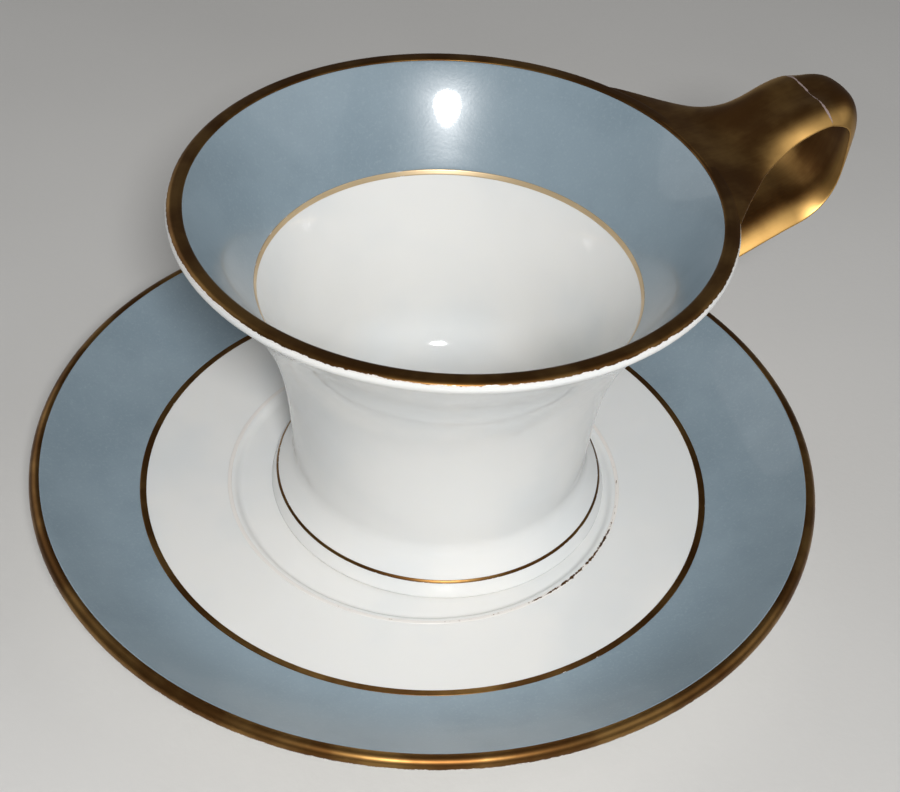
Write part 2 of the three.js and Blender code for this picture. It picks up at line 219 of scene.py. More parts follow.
class Finishes(bpy.types.PropertyGroup):
    """Colours of glaze, enamel and gold."""

    glaze: colour("Glaze", (0.83, 0.825, 0.80), "White of the glazed porcelain")
    glaze_pool: colour("Pooled Glaze", (0.76, 0.775, 0.77), "Cooler white where the glaze pools")
    speck: colour("Kiln Speck", (0.36, 0.30, 0.23), "Small specks in the glaze")
    bisque: colour("Bisque", (0.72, 0.68, 0.60), "Unglazed porcelain of the foot rings")
    enamel: colour("Enamel", (0.260, 0.334, 0.386), "Blue-grey of the bands")
    enamel_deep: colour("Deep Enamel", (0.222, 0.292, 0.342), "Darker blue-grey in the mottling")
    enamel_pale: colour("Pale Enamel", (0.318, 0.390, 0.439), "Paler grains in the enamel")
    gold: colour("Gold", (0.60, 0.36, 0.118), "Burnished gold of the edges, the lines and the handle")
    gold_deep: colour("Deep Gold", (0.135, 0.060, 0.017), "Brown of the older gold")
    gold_trace: colour("Gold Trace", (0.80, 0.765, 0.725), "Left where the gold is worn off")
    thin_gold: colour("Thin Gold", (0.71, 0.535, 0.32), "Thin gold of the line inside the cup")
    thin_deep: colour("Deep Thin Gold", (0.45, 0.31, 0.165), "Browner places of the thin gold")
    ribbon_trace: colour("Ribbon Trace", (0.34, 0.255, 0.24), "Left where the ribbon's gold is worn off")
    floor: colour("Floor", (0.70, 0.69, 0.67), "Floor of the stage")
    floor_shade: colour("Floor Shade", (0.665, 0.655, 0.635), "Softly darker places of the floor")


class StageSettings(bpy.types.PropertyGroup):
    """Camera, lamps and floor."""

    camera: place("Camera", (-82.89, -165.12, 186.50), "Where the camera stands")
    heading: angle("Heading", 26.8, "Turn of the camera from +Y towards +X")
    dip: angle("Dip", 41.52, "How far the camera looks down")
    roll: angle("Roll", 3.739, "Roll of the camera")
    lens: focal("Lens", 64.39, "Focal length")
    key: place("Key", (-106, -299, 304), "Where the main softbox stands")
    key_size: length("Key Size", 78, "Width of the main softbox")
    key_power: power("Key Power", 1.45, "Power of the main softbox")
    wide: place("Wide", (420, -260, 460), "Where the wide softbox stands")
    wide_size: length("Wide Size", 500, "Width of the wide softbox")
    wide_power: power("Wide Power", 0.4, "Power of the wide softbox")
    rear: place("Rear", (-300, 560, 380), "Where the softbox behind the part stands")
    rear_size: length("Rear Size", 500, "Width of the softbox behind the part")
    rear_power: power("Rear Power", 0.5, "Power of the softbox behind the part")
    aim: place("Aim", (0, 0, 25), "Where the lamps point")
    sky: share("Sky", 0.125, "Brightness of the plain surroundings")
    floor_size: length("Floor Size", 4000, "Side of the floor")
    segments: steps("Segments", 256, "Steps round each turned piece")


# Outlines: runs of points (radius, height), the surface facing to the right of the run

QUARTER = math.pi / 2
CURVE_STEPS = 1600
EASE_STEPS = 6
LARGEST_EASE = 0.45
NECK_STEPS = 14
RIM_STEPS = 8
LINE_POINTS = 5
BRIM_POINTS = 5
CLEAR_OF_BRIM = 1.05
# Spacing of points on edges and lines, on plain runs, and the widest anywhere
FINE = 0.12 * MM
PLAIN = 0.6 * MM
WIDEST = 2.0 * MM


def smooth(value, low, high):
    t = np.clip((value - low) / (high - low), 0, 1)
    return t * t * (3 - 2 * t)


def steer(turn):
    return np.array((math.cos(turn), math.sin(turn)))


def spot(radius, height):
    return np.array((radius, height))


def bezier(controls, count=CURVE_STEPS):
    """A smooth run of points drawn by its control points."""
    t = np.linspace(0, 1, count + 1)[:, None]
    run = list(controls)
    while len(run) > 1:
        run = [a + (b - a) * t for a, b in zip(run, run[1:])]
    return run[0]


def held(start, leave, end, arrive, hold):
    """A run that leaves and arrives along given directions, keeping each for a share of the distance."""
    reach = hold * np.linalg.norm(end - start)
    return bezier((start, start + reach * leave, end - reach * arrive, end))


def arc(centre, radius, start, end):
    turn = np.linspace(start, end, CURVE_STEPS)
    return centre + radius * np.column_stack((np.cos(turn), np.sin(turn)))


def facing(run):
    """Unit normals to the right of a run."""
    along = np.gradient(run, axis=0)
    right = np.column_stack((along[:, 1], -along[:, 0]))
    return right / np.linalg.norm(right, axis=1)[:, None]


def measured(run):
    """Length of a run up to each of its points."""
    return np.concatenate(([0.0], np.cumsum(np.linalg.norm(np.diff(run, axis=0), axis=1))))


def points_at(run, lengths):
    along = measured(run)
    return np.column_stack([np.interp(lengths, along, run[:, k]) for k in range(2)])


def point_at(run, at):
    return points_at(run, [at])[0]


def stretch(run, step, start=0.0, end=None):
    """Part of a run between two lengths along it, evenly spaced; it may go backwards."""
    end = measured(run)[-1] if end is None else end
    count = max(2, round(abs(end - start) / step))
    return points_at(run, np.linspace(start, end, count + 1))


def length_at(run, height):
    """Length along a rising run at which it reaches a height."""
    return float(np.interp(height, run[:, 1], measured(run)))


def eased(corners, radii):
    """Straight lines through corners, with each inner corner rounded."""
    run = [corners[0]]
    for before, corner, after, radius in zip(corners, corners[1:], corners[2:], radii):
        sides = before - corner, after - corner
        start, end = (corner + side * min(LARGEST_EASE, radius / np.linalg.norm(side)) for side in sides)
        run.extend(bezier((start, corner, end), EASE_STEPS))
    run.append(corners[-1])
    return np.array(run)


def filled(run, step):
    """A run with points added where two of them are further apart than a step."""
    points = [run[0]]
    for a, b in zip(run, run[1:]):
        count = max(1, math.ceil(np.linalg.norm(b - a) / step))
        points.extend(a + (b - a) * k / count for k in range(1, count + 1))
    return np.array(points)


def joined(stretches):
    """One run from stretches that start where the last one ends."""
    return np.concatenate([run if k == 0 else run[1:] for k, run in enumerate(stretches)])


def saucer_outline(s):
    """Stretches of the saucer's outline, from the axis below to the axis above.

    A stretch that carries a coat has the name of the coat's node.
    """
    edge = s.edge / 2
    centre = spot(s.radius - edge, s.height - edge)
    gilt = arc(centre, edge, -s.edge_gilt, s.gilt_over)
    shoulder = arc(centre, edge, s.gilt_over, s.edge_slope + QUARTER)
    bare = arc(centre, edge, s.edge_slope - QUARTER, -s.edge_gilt)
    ledge = steer(s.ledge_slope)
    floor = s.foot_depth + s.thickness
    step_top = spot(s.well_radius + s.step_run, floor + s.step_rise)

    def on_ledge(radius):
        return step_top + ledge * (radius - step_top[0]) / ledge[0]

    line_out, line_in = (on_ledge(s.line_radius + d * s.line_width / 2) for d in (1, -1))
    well_out = on_ledge(step_top[0] + s.well_line)
    step = bezier((step_top, step_top - ledge * s.step_run / 2,
                   spot(s.well_radius + s.step_run / 2, floor), spot(s.well_radius, floor)))
    top = held(shoulder[-1], steer(s.edge_slope + math.pi), line_out, -ledge, s.hold)
    root = spot(s.foot_radius + s.foot_fillet, on_ledge(s.foot_radius)[1] - s.thickness)
    under = held(root, ledge, bare[0], steer(s.edge_slope), s.hold)
    inside = s.foot_radius - s.foot_width
    corners = [spot(0, s.foot_depth), spot(inside, s.foot_depth), spot(inside, 0), spot(s.foot_radius, 0),
               spot(s.foot_radius, root[1]), root]
    ring = eased(corners, [s.foot_fillet, s.foot_chamfer, s.foot_chamfer, s.foot_fillet])
    return {
        "foot": filled(np.vstack((ring, stretch(under, PLAIN)[1:])), WIDEST),
        "edge": stretch(bare, FINE),
        "saucer_rim_gilding": stretch(gilt, FINE),
        "saucer_blue_band": joined([stretch(shoulder, FINE), stretch(top, PLAIN)]),
        "saucer_band_gold_line": np.linspace(line_out, line_in, LINE_POINTS),
        "ledge": filled(np.array((line_in, well_out)), PLAIN),
        "saucer_well_gold_line": np.linspace(well_out, step_top, LINE_POINTS),
        "well": filled(np.vstack((stretch(step, FINE), spot(0, floor))), WIDEST),
    }


def cup_sides(c):
    """The cup's wall outside and inside, both rising, and the middle of the rim's round."""
    rim = spot(c.radius - c.wall / 2, c.height - c.wall / 2)
    lip = rim + c.wall / 2 * steer(-c.lip_flare)
    neck = spot(c.neck_radius, c.neck_height)
    span = lip[1] - neck[1]
    outside = bezier((neck, neck + c.neck_hold * span * steer(QUARTER - c.neck_lean),
                      lip - c.lip_hold * span * steer(QUARTER - c.lip_flare), lip))
    risen = measured(outside) / measured(outside)[-1]
    thickness = c.wall + (c.rim - c.wall) * smooth(risen, c.rim_from, 1)
    return outside, outside - thickness[:, None] * facing(outside), rim


def cup_outline(c):
    """Stretches of the cup's outline, from the axis below to the axis inside, named as the saucer's are."""
    outside, inside, rim = cup_sides(c)
    shoulder = spot(c.foot_radius - c.foot_batter, c.foot_side)
    flare = held(shoulder, steer(QUARTER + c.flare_lean), outside[0], steer(QUARTER + c.flare_top_lean),
                 c.flare_hold)
    neck_from, neck_to = measured(flare)[-1] - c.neck_ease, c.neck_ease
    neck = bezier((point_at(flare, neck_from), outside[0], point_at(outside, neck_to)), NECK_STEPS)
    gilt_in = length_at(inside, c.height - c.gilt_inside)
    rim_corner = point_at(inside, length_at(inside, c.height))
    rim_over = bezier((rim_corner + spot(c.rim_ease, 0), rim_corner, point_at(inside, gilt_in)), RIM_STEPS)
    line_height = c.height - c.line_depth
    line_top, line_low = (length_at(inside, line_height + d * c.line_width / 2) for d in (1, -1))
    floor = c.foot_recess + c.floor
    corner_at = length_at(inside, floor + c.floor_corner)
    bowl = stretch(inside, PLAIN, line_low, corner_at)
    fall = bowl[-1] - bowl[-2]
    foot_of_fall = bowl[-1] + fall * (floor - bowl[-1][1]) / fall[1]
    corner = bezier((bowl[-1], foot_of_fall, spot(bowl[-1][0] - c.floor_corner, floor)))
    ring = c.foot_radius - c.foot_width
    foot = eased([spot(0, c.foot_recess), spot(ring - c.foot_recess / 2, c.foot_recess), spot(ring, 0),
                  spot(c.foot_radius, 0), shoulder], [2 * c.foot_chamfer] * 3)
    gilt = np.vstack((stretch(arc(rim, c.wall / 2, c.gilt_from, QUARTER), FINE), rim_over))
    return {
        "foot": filled(foot, WIDEST),
        "cup_foot_gold_line": stretch(flare, FINE, 0, c.foot_line),
        "flare": stretch(flare, PLAIN / 2, c.foot_line, neck_from),
        "neck": neck,
        "wall": stretch(outside, PLAIN, neck_to),
        "lip": stretch(arc(rim, c.wall / 2, -c.lip_flare, c.gilt_from), FINE),
        "cup_rim_gilding": filled(gilt, FINE),
        "cup_inner_blue_band": stretch(inside, PLAIN, gilt_in, line_top),
        "cup_inner_gold_line": stretch(inside, FINE, line_top, line_low),
        "bowl": filled(np.vstack((bowl, stretch(corner, PLAIN)[1:], spot(0, floor))), WIDEST),
    }


def coat_outline(run, thickness, edge, sink):
    """A closed outline on a run: a face that thins to both edges, and a back sunk in the glaze."""
    inner = measured(run)
    total = inner[-1]
    edge = min(edge, total / 2)
    brim = edge * (1 - np.cos(np.linspace(0, QUARTER, BRIM_POINTS)))
    clear = edge * CLEAR_OF_BRIM
    inner = inner[(inner > clear) & (inner < total - clear)]
    along = np.concatenate((brim, inner, (total - brim)[::-1]))
    surface = points_at(run, along)
    normal = facing(surface)
    short = np.clip(1 - np.minimum(along, total - along) / edge, 0, 1)
    lift = thickness * np.sqrt(1 - short ** 2)
    face = surface + normal * lift[:, None]
    back = surface - normal * sink
    return np.vstack((face, back[::-1])), np.concatenate((along, along[::-1]))


# Meshes

# How far the box of a piece may lie off its node's box
BODY_SLACK = 0.3 * MM
COAT_SLACK = 0.4 * MM
HANDLE_SLACK = 3 * MM


def add(name, data):
    """A new object in the scene."""
    made = bpy.data.objects.new(name, data)
    bpy.context.collection.objects.link(made)
    return made


def make_piece(name, vertices, faces, attributes, material):
    """A smooth mesh object with point attributes and one material."""
    mesh = bpy.data.meshes.new(name)
    mesh.from_pydata(vertices.tolist(), [], faces)
    if mesh.validate():
        raise RuntimeError(f"{name} has faulty faces")
    for key, values in attributes.items():
        kind, field = ("FLOAT", "value") if values.ndim == 1 else ("FLOAT_VECTOR", "vector")
        mesh.attributes.new(key, kind, "POINT").data.foreach_set(field, values.astype(np.float32).ravel())
    mesh.shade_smooth()
    mesh.materials.append(material)
    return add(name, mesh)


def skin(count, size, closed=False):
    """Numbers of the points of rings, and faces from ring to ring; closed joins the last to the first."""
    corner = np.arange(count * size).reshape(count, size)
    low, high = (corner, np.roll(corner, -1, axis=0)) if closed else (corner[:-1], corner[1:])
    faces = np.stack((low, np.roll(low, -1, axis=1), np.roll(high, -1, axis=1), high), axis=-1)
    return corner, faces.reshape(-1, 4)


def turned(scene, name, node, outline, material, along=None, worn=None):
    """A piece turned about its node's axis: a body from a run that starts and ends on the axis, or a closed
    coat from a run with its lengths. Worn gives the wear by length, turn and ring."""
    segments = scene.demitasse_stage.segments
    turns = np.linspace(0, 2 * math.pi, segments, endpoint=False)

    def spun(radii, heights):
        rounds = np.broadcast_arrays(radii * np.cos(turns), radii * np.sin(turns), heights)
        return np.stack(rounds, axis=-1).reshape(-1, 3)

    coat = along is not None
    rings = outline if coat else outline[1:-1]
    lengths = (along if coat else measured(outline)[1:-1])[:, None]
    corner, faces = skin(len(rings), segments, closed=coat)
    faces = faces.tolist()
    vertices = spun(rings[:, :1], rings[:, 1:])
    brushed = spun(outline[:, 0].max(), lengths)
    wear = np.zeros(len(vertices)) if worn is None else worn(lengths, turns[None, :], rings).ravel()
    if not coat:
        bottom, top = len(vertices), len(vertices) + 1
        faces += [(bottom, int(b), int(a)) for a, b in zip(corner[0], np.roll(corner[0], -1))]
        faces += [(int(a), int(b), top) for a, b in zip(corner[-1], np.roll(corner[-1], -1))]
        vertices = np.vstack((vertices, [(0, 0, outline[0][1]), (0, 0, outline[-1][1])]))
        brushed = np.vstack((brushed, np.zeros((2, 3))))
        wear = np.concatenate((wear, (0, 0)))
    return make_piece(name, vertices + origin_of(node), faces, {"brushed": brushed, "worn": wear}, material)


def place_piece(piece, node, slack):
    """Rides a piece on its node's body and lets it stand for the node, if it lies where the node does."""
    low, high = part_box(node)
    corners = np.array([corner[:] for corner in piece.bound_box])
    apart = max(np.abs(corners.min(0) - low).max(), np.abs(corners.max(0) - high).max())
    if apart > slack:
        raise RuntimeError(f"{piece.name} is {apart / MM:.2f} mm off {node}")
    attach(piece, body_of(frame["nodes"][node])[0])
    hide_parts(node)


def origin_of(node):
    """Where the axis of a node's body meets the table or the well."""
    low, high = (CUP_LOW, CUP_HIGH) if node.startswith("cup") else (SAUCER_LOW, SAUCER_HIGH)
    return (low.x + high.x) / 2, (low.y + high.y) / 2, low.z


# Finishes

SPOT_CORE = 0.6
CHOICE_EDGE = 0.02


class Wire:
    """An output socket of a finish. Arithmetic on it adds Math nodes."""

    def __init__(self, finish, socket):
        self.finish = finish
        self.socket = socket

    def math(self, operation, *values):
        return self.finish.node("ShaderNodeMath", dict(enumerate(values)), operation=operation)

    def __add__(self, other):
        return self.math("ADD", self, other)

    def __sub__(self, other):
        return self.math("SUBTRACT", self, other)

    def __rsub__(self, other):
        return self.math("SUBTRACT", other, self)

    def __mul__(self, other):
        return self.math("MULTIPLY", self, other)

    __radd__ = __add__
    __rmul__ = __mul__

    def ramp(self, low, high):
        """0 below low, 1 above high, smooth between."""
        return self.finish.node("ShaderNodeMapRange", {"Value": self, "From Min": low, "From Max": high},
                                interpolation_type="SMOOTHSTEP")


class Finish:
    """A material whose nodes are written as expressions."""

    def __init__(self, name):
        self.material = bpy.data.materials.new(name)
        self.material.use_nodes = True
        self.tree = self.material.node_tree
        self.shader = self.tree.nodes["Principled BSDF"]
        self.where = self.node("ShaderNodeTexCoord", output="Object")

    @staticmethod
    def socket(sockets, key):
        if isinstance(key, int):
            return sockets[key]
        return next(s for s in sockets if key in (s.identifier, s.name))

    def feed(self, socket, value):
        if isinstance(value, Wire):
            self.tree.links.new(value.socket, socket)
        elif socket.type == "RGBA":
            socket.default_value = (*value, 1)
        else:
            socket.default_value = value

    def node(self, kind, inputs=None, output=0, **settings):
        """Any node: its settings first, then the values or links of its sockets."""
        made = self.tree.nodes.new(kind)
        for key, value in settings.items():
            setattr(made, key, value)
        for key, value in (inputs or {}).items():
            self.feed(self.socket(made.inputs, key), value)
        return Wire(self, self.socket(made.outputs, output))

    def shade(self, **sockets):
        for key, value in sockets.items():
            self.feed(self.socket(self.shader.inputs, key.replace("_", " ")), value)
        return self.material

    def attribute(self, name, output="Fac"):
        return self.node("ShaderNodeAttribute", output=output, attribute_name=name)

    def mix(self, factor, first, second):
        return self.node("ShaderNodeMix", {"Factor_Float": factor, "A_Color": first, "B_Color": second},
                         "Result_Color", data_type="RGBA")

    def noise(self, per_metre, detail=2.0, roughness=0.5, where=None):
        return self.node("ShaderNodeTexNoise", {"Vector": where or self.where, "Scale": per_metre,
                                                "Detail": detail, "Roughness": roughness}, "Fac")

    def specks(self, per_metre, radius, rarity):
        """Small round spots, one in a few cells of a grid of the given fineness."""
        cell = {"Vector": self.where, "Scale": per_metre}
        near = self.node("ShaderNodeTexVoronoi", cell, "Distance")
        tint = self.node("ShaderNodeTexVoronoi", cell, "Color")
        chosen = self.node("ShaderNodeSeparateColor", {"Color": tint}, "Red")
        return (1 - near.ramp(radius * SPOT_CORE, radius)) * chosen.ramp(rarity, rarity + CHOICE_EDGE)

    def bump(self, height, distance):
        return self.node("ShaderNodeBump", {"Height": height, "Distance": distance}, "Normal")


# Glaze
GLAZE_POLISH = 0.045
POOL_ROUGHNESS = 0.02
RIPPLE_ROUGHNESS = 0.03
BARE_ROUGHNESS = 0.5
SPECK_TINT = 0.6
DUST_HEIGHT = 0.5
GLAZE_BUMP = 0.03 * MM
GLOW_DEPTH = 1.2 * MM


def glazed_porcelain(tones):
    """White body under clear glaze, cooler where the glaze pools, with a few kiln specks and a bare foot."""
    f = Finish("glazed_porcelain")
    bare = f.attribute("worn")
    pool = f.noise(per_metre=38, detail=3).ramp(low=0.4, high=0.66)
    ripple = f.noise(per_metre=210)
    dust = f.noise(per_metre=1500)
    speck = f.specks(per_metre=170, radius=0.045, rarity=0.93)
    tone = f.mix(pool, tones.glaze, tones.glaze_pool)
    tone = f.mix(speck * SPECK_TINT, tone, tones.speck)
    tone = f.mix(bare, tone, tones.bisque)
    height = ripple * (1 - bare) + dust * bare * DUST_HEIGHT
    rough = GLAZE_POLISH + pool * POOL_ROUGHNESS + ripple * RIPPLE_ROUGHNESS + bare * BARE_ROUGHNESS
    return f.shade(Base_Color=tone, Roughness=rough, Normal=f.bump(height, GLAZE_BUMP), IOR=1.52,
                   Subsurface_Weight=0.12, Subsurface_Radius=(1.0, 0.9, 0.75), Subsurface_Scale=GLOW_DEPTH)


# Enamel
ENAMEL_POLISH = 0.25
CLOUD_ROUGHNESS = 0.05
GRAIN_ROUGHNESS = 0.11
GRAIN_TINT = 0.45
PIN_TINT = 0.35
GRAIN_HEIGHT = 0.7
PIN_DEPTH = 0.4
ENAMEL_BUMP = 0.015 * MM


def blue_enamel(tones):
    """Opaque enamel, softly mottled, with fine grain and a satin surface."""
    f = Finish("blue_enamel")
    cloud = f.noise(per_metre=60, detail=4, roughness=0.6).ramp(low=0.36, high=0.68)
    grain = f.noise(per_metre=2300, detail=3, roughness=0.6)
    wave = f.noise(per_metre=420)
    pin = f.specks(per_metre=900, radius=0.11, rarity=0.9)
    tone = f.mix(cloud, tones.enamel, tones.enamel_deep)
    tone = f.mix(grain.ramp(low=0.5, high=0.75) * GRAIN_TINT, tone, tones.enamel_pale)
    tone = f.mix(pin * PIN_TINT, tone, tones.enamel_deep)
    height = grain * GRAIN_HEIGHT + wave - pin * PIN_DEPTH
    rough = ENAMEL_POLISH + cloud * CLOUD_ROUGHNESS + grain * GRAIN_ROUGHNESS
    return f.shade(Base_Color=tone, Roughness=rough, Normal=f.bump(height, ENAMEL_BUMP), IOR=1.5,
                   Coat_Weight=0.4, Coat_Roughness=0.07)


# Gold, with its strokes per metre
STROKES = (70, 70, 1900)
FLECK_SHARE = 0.55
WEAR_MIDDLE = 0.5
WEAR_SPREAD = 1.9
WEAR_EDGE = (-0.03, 0.05)
THIN_BROWN = 0.3
STROKE_BROWN = 0.12
# How much the painted highlight on the ribbon's edges lifts the gold out of its brown
PAINTED_SHEEN_LIFT = 0.5
BROWN_RANGE = (0.1, 0.8)
THIN_ROUGHNESS = 0.05
STROKE_ROUGHNESS = 0.06
LOST_POLISH = 0.15
STROKE_HEIGHT = 0.3
FLECK_HEIGHT = 0.25
GOLD_BUMP = 0.012 * MM


def worn_gold(name, bright, deep_tone, trace, stain, metal, fleck, polish):
    """Brushed gold, browner where it is thin, brighter where a painted highlight is marked on it, worn
    through to a pale trace.
    """
    f = Finish(name)
    brushed = f.node("ShaderNodeVectorMath", {0: f.attribute("brushed", "Vector"), 1: STROKES},
                     operation="MULTIPLY")
    strokes = f.noise(per_metre=1, detail=3, roughness=0.55, where=brushed)
    thin = f.noise(per_metre=90, detail=4, roughness=0.55).ramp(low=0.34, high=0.7)
    flecks = f.noise(per_metre=fleck, detail=4, roughness=0.65)
    patches = f.noise(per_metre=190, detail=3, roughness=0.6)
    broken = (flecks * FLECK_SHARE + patches * (1 - FLECK_SHARE) - WEAR_MIDDLE) * WEAR_SPREAD
    lost = (f.attribute("worn") - broken - WEAR_MIDDLE).ramp(*WEAR_EDGE)
    brown = thin * THIN_BROWN + strokes * STROKE_BROWN + stain
    # The painted highlight, marked on the ribbon's points, brightens the gold here
    deep = (brown - f.attribute("rubbed") * PAINTED_SHEEN_LIFT).ramp(*BROWN_RANGE)
    tone = f.mix(lost, f.mix(deep, bright, deep_tone), trace)
    rough = polish + thin * THIN_ROUGHNESS + strokes * STROKE_ROUGHNESS - lost * LOST_POLISH
    height = strokes * (1 - lost) * STROKE_HEIGHT + flecks * FLECK_HEIGHT - lost
    return f.shade(Base_Color=tone, Metallic=(1 - lost) * metal, Roughness=rough,
                   Normal=f.bump(height, GOLD_BUMP))


# Floor
FLOOR_POLISH = 0.62
TOOTH_ROUGHNESS = 0.2
FLOOR_BUMP = 0.03 * MM


def pale_floor(tones):
    """Plain pale floor with a faint tooth."""
    f = Finish("pale_floor")
    shade = f.noise(per_metre=9, detail=3).ramp(low=0.35, high=0.7)
    rough = FLOOR_POLISH + f.noise(per_metre=300) * TOOTH_ROUGHNESS
    tooth = f.bump(f.noise(per_metre=900, detail=3), FLOOR_BUMP)
    return f.shade(Base_Color=f.mix(shade, tones.floor, tones.floor_shade), Roughness=rough, Normal=tooth,
                   Specular_IOR_Level=0.25)


# Operators

BARE_HEIGHT = 0.25 * MM


def bare_foot(lengths, turns, rings):
    """Where a foot ring is ground free of glaze: the narrow flat that it stands on."""
    flat = np.clip(1 - rings[:, 1] / BARE_HEIGHT, 0, 1)
    return flat[:, None] * np.ones_like(turns)


def stretches_of(scene, node):
    """Stretches of the outline that a node belongs to."""
    if node.startswith("cup"):
        return cup_outline(scene.demitasse_cup)
    return saucer_outline(scene.demitasse_saucer)


class TurnPorcelain(bpy.types.Operator):
    """Turns the white bodies of the saucer and the cup"""

    bl_idname = "tableware.turn_porcelain"
    bl_label = "Turn Porcelain"

    def execute(self, context):
        scene = context.scene
        glaze = glazed_porcelain(scene.demitasse_finishes)
        for node in ("saucer_body", "cup_body"):
            outline = joined(list(stretches_of(scene, node).values()))
            piece = turned(scene, f"glazed_{node}", node, outline, glaze, worn=bare_foot)
            place_piece(piece, node, BODY_SLACK)
        return {"FINISHED"}


def lay_coat(scene, node, coat, material, worn=None):
    """A coat on the stretch of outline that carries the node's name."""
    sizes = scene.demitasse_coats
    run = stretches_of(scene, node)[node]
    outline, along = coat_outline(run, getattr(sizes, coat), sizes.edge, sizes.sink)
    piece = turned(scene, f"painted_{node}", node, outline, material, along, worn)
    place_piece(piece, node, COAT_SLACK)


class LayEnamel(bpy.types.Operator):
    """Lays the blue bands on the saucer's flange and inside the cup's mouth"""

    bl_idname = "tableware.lay_enamel"
    bl_label = "Lay Enamel Bands"

    def execute(self, context):
        enamel = blue_enamel(context.scene.demitasse_finishes)
        for node in ("saucer_blue_band", "cup_inner_blue_band"):
            lay_coat(context.scene, node, "enamel", enamel)
        return {"FINISHED"}


# Wear of each gold coat: all over, at its first edge, how far that reaches in mm, and at its last edge
GOLD_WEAR = {
    "saucer_rim_gilding": (0.12, 0.6, 0.25, 0.0),
    "saucer_band_gold_line": (0.1, 0.2, 0.15, 0.15),
    "saucer_well_gold_line": (0.73, 0.34, 0.22, 0.3),
    "cup_rim_gilding": (0.1, 0.55, 0.22, 0.0),
    "cup_inner_gold_line": (0.1, 0.25, 0.15, 0.25),
    "cup_foot_gold_line": (0.12, 0.3, 0.15, 0.2),
}
# Sides worn more at the coat's first edge, or kept better all over: how much, where and how tightly
WORN_SIDES = {"cup_rim_gilding": (0.45, math.radians(188), 90)}
KEPT_SIDES = {"saucer_well_gold_line": (0.37, math.radians(300), 5)}
THIN_LINES = ("cup_inner_gold_line",)
LAST_EDGE = 0.2 * MM
ROOT_SPREAD = math.cos(math.radians(40)), math.cos(math.radians(32))


def one_sided(turns, amount=0, middle=0, tightness=1):
    """An amount that is full at one side of a ring and fades round it."""
    return amount * (0.5 + 0.5 * np.cos(turns - middle)) ** tightness


def wear_of(node):
    """Wear of a gold coat by length, turn and ring. The rim's gold is whole where the handle leaves it."""
    over, first, reach, last = GOLD_WEAR[node]

    def worn(lengths, turns, rings):
        near_first = np.exp(-(lengths / (reach * MM)) ** 2)
        near_last = np.exp(-((lengths.max() - lengths) / LAST_EDGE) ** 2)
        more = one_sided(turns, *WORN_SIDES.get(node, ()))
        kept = one_sided(turns, *KEPT_SIDES.get(node, ()))
        rooted = smooth(np.cos(turns), *ROOT_SPREAD) if node == "cup_rim_gilding" else 0
        return (over - kept + (first + more) * near_first + last * near_last) * (1 - rooted)

    return worn


class LayGold(bpy.types.Operator):
    """Lays the gold lines and the gilding of the edges"""

    bl_idname = "tableware.lay_gold"
    bl_label = "Lay Gold Lines and Gilding"

    def execute(self, context):
        tones = context.scene.demitasse_finishes
        old = worn_gold("worn_gold", tones.gold, tones.gold_deep, tones.gold_trace,
                        stain=0.46, metal=1.0, fleck=1300, polish=0.33)
        thin = worn_gold("thin_gold", tones.thin_gold, tones.thin_deep, tones.gold_trace,
                         stain=0.12, metal=0.5, fleck=900, polish=0.33)
        for node in GOLD_WEAR:
            gold = thin if node in THIN_LINES else old
            lay_coat(context.scene, node, "gold", gold, wear_of(node))
        return {"FINISHED"}


# Ribbon
RING_STEP = 0.25 * MM
FACE_SHARE = 0.88
FACE_POINTS = 31
EDGE_POINTS = 13
BEND_RUN = 9 * MM
RISE_RUN = 5 * MM
WRAP_RUN = 5 * MM
WALL_PROBE = 0.1 * MM
WIDTH_ROUNDS = 40
TAPER_FROM, TAPER_TO = 0.2, 0.95
ROLL_POWER = 2.3
TURNED_ROUND = [0, 3, 2, 1]
RIBBON_WEAR, CREASE_WEAR, EDGE_WEAR, LOOP_WEAR = 0.07, 0.8, 0.04, 0.06
# The worn crease wanders by (amount, pitch, start) and has a chip at its far end
CREASE_WIDTH = 0.25 * MM
CREASE_WANDER = ((0.16 * MM, 2.1 * MM, 0.6), (0.07 * MM, 0.63 * MM, 0.0))
CREASE_DEPTH = (0.05, 0.4)
CREASE_FADE = 0.14
CREASE_MIDDLE = (2 * MM, 6 * MM)
CHIP_AT, CHIP_RUN, CHIP_WIDTH = 5.0 * MM, 0.8 * MM, 0.4 * MM
EDGE_MIDDLE, EDGE_SPREAD = 0.5, 0.3
# Where across the half width and along the ribbon the painted highlight on its edges comes in
PAINTED_SHEEN_ACROSS = (0.5, 0.95)
PAINTED_SHEEN_ALONG = (5 * MM, 13 * MM)


def sag(radius, half):
    """How far the middle of an arc stands off a chord of the given half length."""
    return radius - np.sqrt(np.maximum(radius ** 2 - half ** 2, 0))


def hollow(distance, radius):
    """Depth of a quarter-round hollow at a distance from the corner that it fills."""
    return sag(radius, radius - np.clip(distance, 0, radius))


